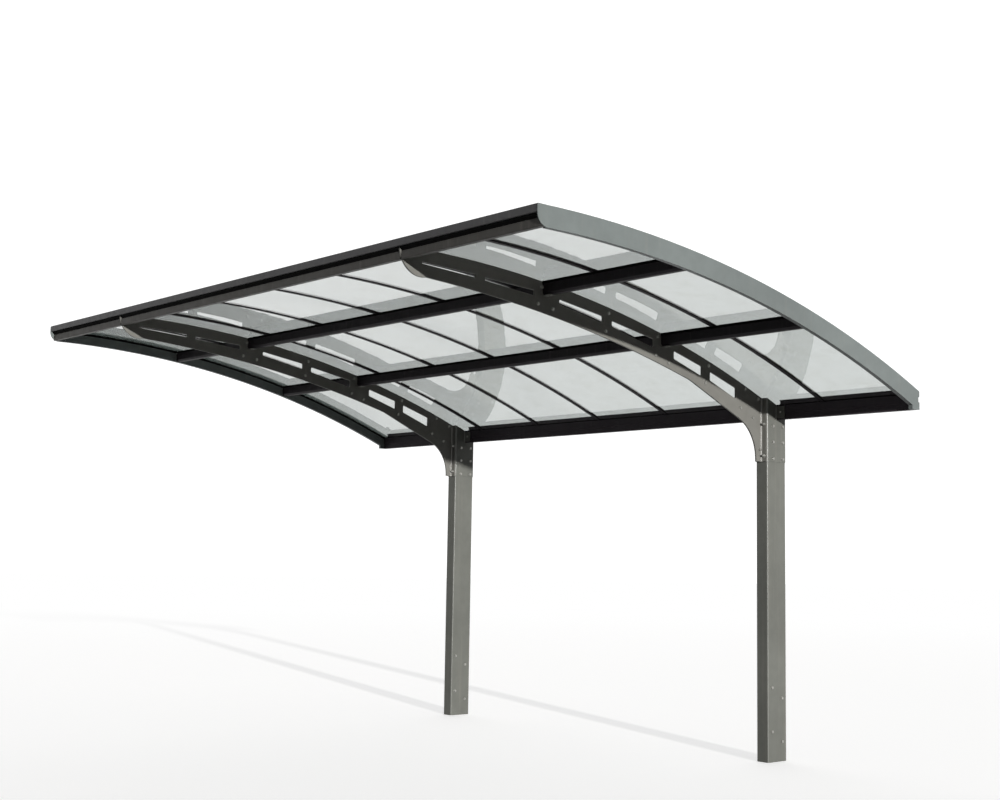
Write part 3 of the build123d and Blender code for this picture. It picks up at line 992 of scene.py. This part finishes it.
# Camera at the photograph's viewing angle
camera_place = Vector((8.507, -6.972, 1.194))
camera_forward = Vector((-0.75225, 0.65039, 0.10545)).normalized()
camera_up = Vector((0.06912, -0.08126, 0.99429)).normalized()
camera_right = camera_forward.cross(camera_up).normalized()
camera_up = camera_right.cross(camera_forward)
camera_data = bpy.data.cameras.new("camera")
camera_data.sensor_width = 36.0
camera_data.lens = 52.2
camera_data.clip_end = 200.0
camera = bpy.data.objects.new("camera", camera_data)
camera.matrix_world = Matrix(
    (
        (camera_right.x, camera_up.x, -camera_forward.x, camera_place.x),
        (camera_right.y, camera_up.y, -camera_forward.y, camera_place.y),
        (camera_right.z, camera_up.z, -camera_forward.z, camera_place.z),
        (0.0, 0.0, 0.0, 1.0),
    )
)
bpy.context.scene.collection.objects.link(camera)
bpy.context.scene.camera = camera
bpy.context.scene.view_settings.view_transform = "Standard"


def seen_plainly(tree):
    """1 for rays from the camera, from gloss and through clear sheets, 0 for the light on faces."""
    path = add_node(tree, "LightPath").outputs
    seen = math(tree, "MAXIMUM", path["Is Camera Ray"], path["Is Glossy Ray"])
    seen = math(tree, "MAXIMUM", seen, path["Is Transmission Ray"])
    undiffused = math(tree, "LESS_THAN", path["Diffuse Depth"], 0.5)
    return math(tree, "MULTIPLY", seen, undiffused)


# Floor: pale where it is seen, fading into the white background, but dark for the light that it
# returns, so that little of that light reaches the roof's underside
floor_reach = 60.0
floor_sides = 96
floor_middle = (1.5, -0.5, 0.0)
fade_start = 5.0
fade_end = 22.0
floor_light_shade = 0.26
floor_seen_shade = 0.86
floor_lift = 0.57
floor_mesh = bmesh.new()
bmesh.ops.create_circle(floor_mesh, cap_ends=True, segments=floor_sides, radius=floor_reach)
floor_data = bpy.data.meshes.new("floor")
floor_mesh.to_mesh(floor_data)
floor_mesh.free()
floor = bpy.data.objects.new("floor", floor_data)
floor.location = floor_middle
bpy.context.scene.collection.objects.link(floor)
floor_material, floor_tree, floor_shader, floor_output = start_material("pale_floor")
floor_shader["Roughness"].default_value = 0.9
floor_shader["Specular IOR Level"].default_value = 0.1
distance = add_node(floor_tree, "VectorMath", {0: own_place(floor_tree)}, operation="LENGTH")
fade = ramp(floor_tree, distance.outputs["Value"], fade_start, fade_end)
seen_floor = seen_plainly(floor_tree)
floor_colour = mix_colour(floor_tree, seen_floor, grey(floor_light_shade), grey(floor_seen_shade))
floor_tree.links.new(floor_colour, floor_shader["Base Color"])
lift_strength = math(floor_tree, "MULTIPLY", seen_floor, floor_lift)
lift = add_node(floor_tree, "Emission", {"Color": grey(1.0), "Strength": lift_strength})
painted = floor_tree.nodes["Principled BSDF"].outputs[0]
near = add_node(floor_tree, "AddShader", {0: painted, 1: lift.outputs[0]})
white = add_node(floor_tree, "Emission", {"Color": grey(1.0), "Strength": 1.0})
blend = add_node(
    floor_tree,
    "MixShader",
    {0: math(floor_tree, "MULTIPLY", fade, seen_floor), 1: near.outputs[0], 2: white.outputs[0]},
)
floor_tree.links.new(blend.outputs[0], floor_output["Surface"])
floor_data.materials.append(floor_material)

# World: white to look at. As light it is soft, a little stronger from the right, the rear and
# above, with a fill from the left and behind
ambient_level = 0.09
ambient_slopes = (0.04, 0.04, 0.05)
fill_level = 1.1
fill_direction = Vector((-0.74, 0.65, 0.17)).normalized()
fill_edge = 0.5
fill_middle = 0.95
world = bpy.data.worlds.new("studio")
world.use_nodes = True
bpy.context.scene.world = world
world_tree = world.node_tree
world_tree.nodes.clear()
sky_place = add_node(world_tree, "TexCoord").outputs["Generated"]
slope = dot_product(world_tree, sky_place, ambient_slopes)
ambient = math(world_tree, "ADD", slope, ambient_level, clamp=True)
towards_fill = dot_product(world_tree, sky_place, fill_direction)
fill = ramp(world_tree, towards_fill, fill_edge, fill_middle, low_result=0.0, high_result=fill_level)
soft_light = math(world_tree, "ADD", ambient, fill)
strength = math(world_tree, "MAXIMUM", soft_light, seen_plainly(world_tree))
backdrop = add_node(world_tree, "Background", {"Color": grey(1.0), "Strength": strength})
add_node(world_tree, "OutputWorld", {"Surface": backdrop.outputs[0]})

# Key light: low and from the right, as the photograph's
key_direction = Vector((1.0, -0.32, 0.142)).normalized()
key_data = bpy.data.lights.new("key_light", "SUN")
key_data.energy = 3.5
key_data.angle = radians(0.9)
key_data.color = (1.0, 0.985, 0.955)
key = bpy.data.objects.new("key_light", key_data)
key.rotation_euler = key_direction.to_track_quat("Z", "Y").to_euler()
bpy.context.scene.collection.objects.link(key)
